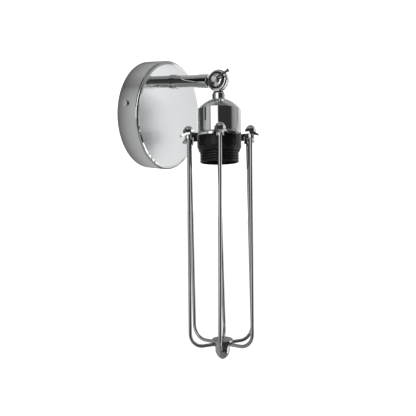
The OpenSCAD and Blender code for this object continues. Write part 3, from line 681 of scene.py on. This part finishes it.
def within(finish, rise, limits):
    """1 between two angles above the horizon, in degrees, and 0 outside them."""
    low, high = (math.sin(math.radians(limit)) for limit in limits)
    over = finish.spread(rise, low - CARD_EDGE / 2, low + CARD_EDGE / 2)
    under = finish.spread(rise, high - CARD_EDGE / 2, high + CARD_EDGE / 2, 1.0, 0.0)
    return over * under


# %% [markdown]
# The tent's colour is built up like paint, one layer over the last: the ring of cards, the ceiling, the
# floor, and then the low cards in turn. It goes to the emission, so the tent looks the same whatever light
# falls on it.

# %% Layers of the tent
def room_layers(finish, turn, rise):
    """The cards with the ceiling above them and the floor below."""
    floor_stops = [((sine + 1) / 2, bright) for sine, bright in FLOOR_LOOKS]
    ground = finish.node("ShaderNodeValToRGB", {"stops": floor_stops}, {"Fac": rise * 0.5 + 0.5})
    above = finish.spread(rise, CARD_TOP - CARD_EDGE, CARD_TOP + CARD_EDGE)
    below = finish.spread(rise, CARD_BOTTOM - CARD_EDGE, CARD_BOTTOM + CARD_EDGE, 1.0, 0.0)
    overhead = finish.spread(rise, OVERHEAD - CARD_EDGE / 2, OVERHEAD + CARD_EDGE / 2)
    top = finish.blend(overhead, around(finish, turn, CEILING), grey(OVERHEAD_LIGHT))
    walls = finish.blend(above, around(finish, turn, CARDS), top)
    return finish.blend(below, walls, ground)


def tent_finish():
    finish = Finish("studio_tent")
    # The ball's own place, from -1 to 1, is the direction in which it is seen
    direction = finish.node("ShaderNodeVectorMath", {"operation": "NORMALIZE"}, {0: finish.place()})
    turn = finish.node(
        "ShaderNodeTexGradient", {"gradient_type": "RADIAL"}, {"Vector": direction}, output=1
    )
    rise = finish.split(direction)[2]
    colour = room_layers(finish, turn, rise)
    for card, limits, bright in [
        (FLOOR_BOARD, FLOOR_BOARD_RISE, grey(FLOOR_BOARD_LIGHT)),
        (LOW_BLACK, LOW_BLACK_RISE, grey(LOW_BLACK_LIGHT)),
        (BLACK_CARD, BLACK_CARD_RISE, grey(BLACK_CARD_LIGHT)),
        (WHITE_CARD, WHITE_CARD_RISE, around(finish, turn, WHITE_CARD)),
    ]:
        shape = finish.spread(around(finish, turn, card), 0.0, 0.3)
        colour = finish.blend(shape * within(finish, rise, limits), colour, bright)
    finish.surface(
        Base_Color=grey(0.0),
        Roughness=1.0,
        Specular_IOR_Level=0.0,
        Emission_Color=colour,
        Emission_Strength=1.0,
    )
    return finish.material


# %% [markdown]
# The tent must not light the room or block it, so it is hidden from every kind of ray but mirror
# reflections.

# %% Hang the tent
TENT_RADIUS = 8.0


def only_in_mirrors(thing):
    """Hides a studio piece from everything but mirror reflections."""
    thing.visible_camera = False
    thing.visible_diffuse = False
    thing.visible_shadow = False
    thing.visible_transmission = False
    thing.visible_volume_scatter = False


def ball_mesh(name, radius):
    made = bpy.data.meshes.new(name)
    shape = bmesh.new()
    bmesh.ops.create_uvsphere(shape, u_segments=64, v_segments=32, radius=radius)
    shape.to_mesh(made)
    shape.free()
    made.polygons.foreach_set("use_smooth", [True] * len(made.polygons))
    return made


tent = bpy.data.objects.new("studio_tent", ball_mesh("studio_tent", TENT_RADIUS))
tent.data.materials.append(tent_finish())
bpy.context.scene.collection.objects.link(tent)
only_in_mirrors(tent)
print("tent:", TENT_RADIUS * 2, "m across")

# %% [markdown]
# ## A flag for the arm
# A round arm between bright walls has no dark line to show that it is round. A photographer hangs a small
# black flag close by, just outside the picture, where only the outer half of the arm mirrors it. This one
# stands beside the backplate, in line with the arm.

# %% A small flag beside the arm
FLAG_X = -0.093
# Its outline as (out from the wall, height) in metres
FLAG_OUTLINE = [
    (-0.020, 0.004),
    (0.001, 0.004),
    (0.006, 0.034),
    (0.016, 0.060),
    (0.030, 0.089),
    (0.042, 0.115),
    (-0.020, 0.115),
]


def flag_finish():
    finish = Finish("studio_flag")
    finish.surface(
        Base_Color=finish.blend(finish.noise(0.004), grey(0.004), grey(0.010)),
        Roughness=1.0,
        Specular_IOR_Level=0.0,
    )
    return finish.material


flag_mesh = bpy.data.meshes.new("studio_flag")
flag_mesh.from_pydata(
    [(FLAG_X, out, height) for out, height in FLAG_OUTLINE],
    [],
    [range(len(FLAG_OUTLINE))],
)
flag = bpy.data.objects.new("studio_flag", flag_mesh)
flag.data.materials.append(flag_finish())
bpy.context.scene.collection.objects.link(flag)
only_in_mirrors(flag)
print("flag corners:", len(FLAG_OUTLINE))

# %% [markdown]
# ## The floor
# The floor lies well below the light, pale and plain. It has a faint cloud and grain, so that it isn't a
# flat colour. Mirrors see the tent instead, so the floor is hidden from mirror reflections.

# %% The floor
FLOOR_DROP = 0.35
FLOOR_HALF = 6.0


def floor_finish():
    finish = Finish("studio_floor")
    cloud = finish.noise(0.4, 3.0)
    finish.surface(
        Base_Color=finish.blend(cloud, grey(0.84), grey(0.80)),
        Roughness=0.8 + cloud * 0.1,
        Normal=finish.bump(finish.noise(0.003, 2.0, seed=1.0), 0.1, 0.0002),
    )
    return finish.material


def floor_mesh(name, half, height):
    made = bpy.data.meshes.new(name)
    shape = bmesh.new()
    bmesh.ops.create_grid(shape, x_segments=4, y_segments=4, size=half)
    bmesh.ops.translate(shape, verts=shape.verts, vec=(0, 0, height))
    shape.to_mesh(made)
    shape.free()
    return made


floor_height = cad_low[2] - FLOOR_DROP
floor = bpy.data.objects.new("floor", floor_mesh("floor", FLOOR_HALF, floor_height))
floor.data.materials.append(floor_finish())
bpy.context.scene.collection.objects.link(floor)
floor.visible_glossy = False
print("floor at:", round(floor_height, 3), "m")

# %% [markdown]
# ## The room and its lamps
# The room's even white does most of the lighting, and it is what the camera sees behind the light. Two wide
# soft panels give the dark plastic a little shape. They are hidden from mirror reflections too, so neither
# shows in the chrome. The Standard view keeps white as white.

# %% The white room
ROOM_BRIGHTNESS = 1.4
room = bpy.data.worlds.new("room")
room.use_nodes = True
room.node_tree.nodes["Background"].inputs["Color"].default_value = (1, 1, 1, 1)
room.node_tree.nodes["Background"].inputs["Strength"].default_value = ROOM_BRIGHTNESS
bpy.context.scene.world = room
bpy.context.scene.view_settings.view_transform = "Standard"
print("room brightness:", ROOM_BRIGHTNESS)

# %% Two soft panels
# Each panel's name, place in metres, width in metres and power in watts
PANELS = [
    ("panel_left", (-1.2, -0.4, 0.6), 1.0, 8),
    ("panel_front", (0.3, -1.4, 0.9), 1.2, 6),
]


def panel(name, place, target, size, power):
    """A wide soft panel that shines from `place` towards `target`."""
    light = bpy.data.lights.new(name, "AREA")
    light.shape = "SQUARE"
    light.size = size
    light.energy = power
    made = bpy.data.objects.new(name, light)
    bpy.context.scene.collection.objects.link(made)
    made.location = place
    towards = Vector(target) - Vector(place)
    made.rotation_euler = towards.to_track_quat("-Z", "Y").to_euler()
    made.visible_glossy = False


middle = (Vector(cad_low) + Vector(cad_high)) / 2
for name, place, size, power in PANELS:
    panel(name, place, middle, size, power)
print("panels:", len(PANELS))
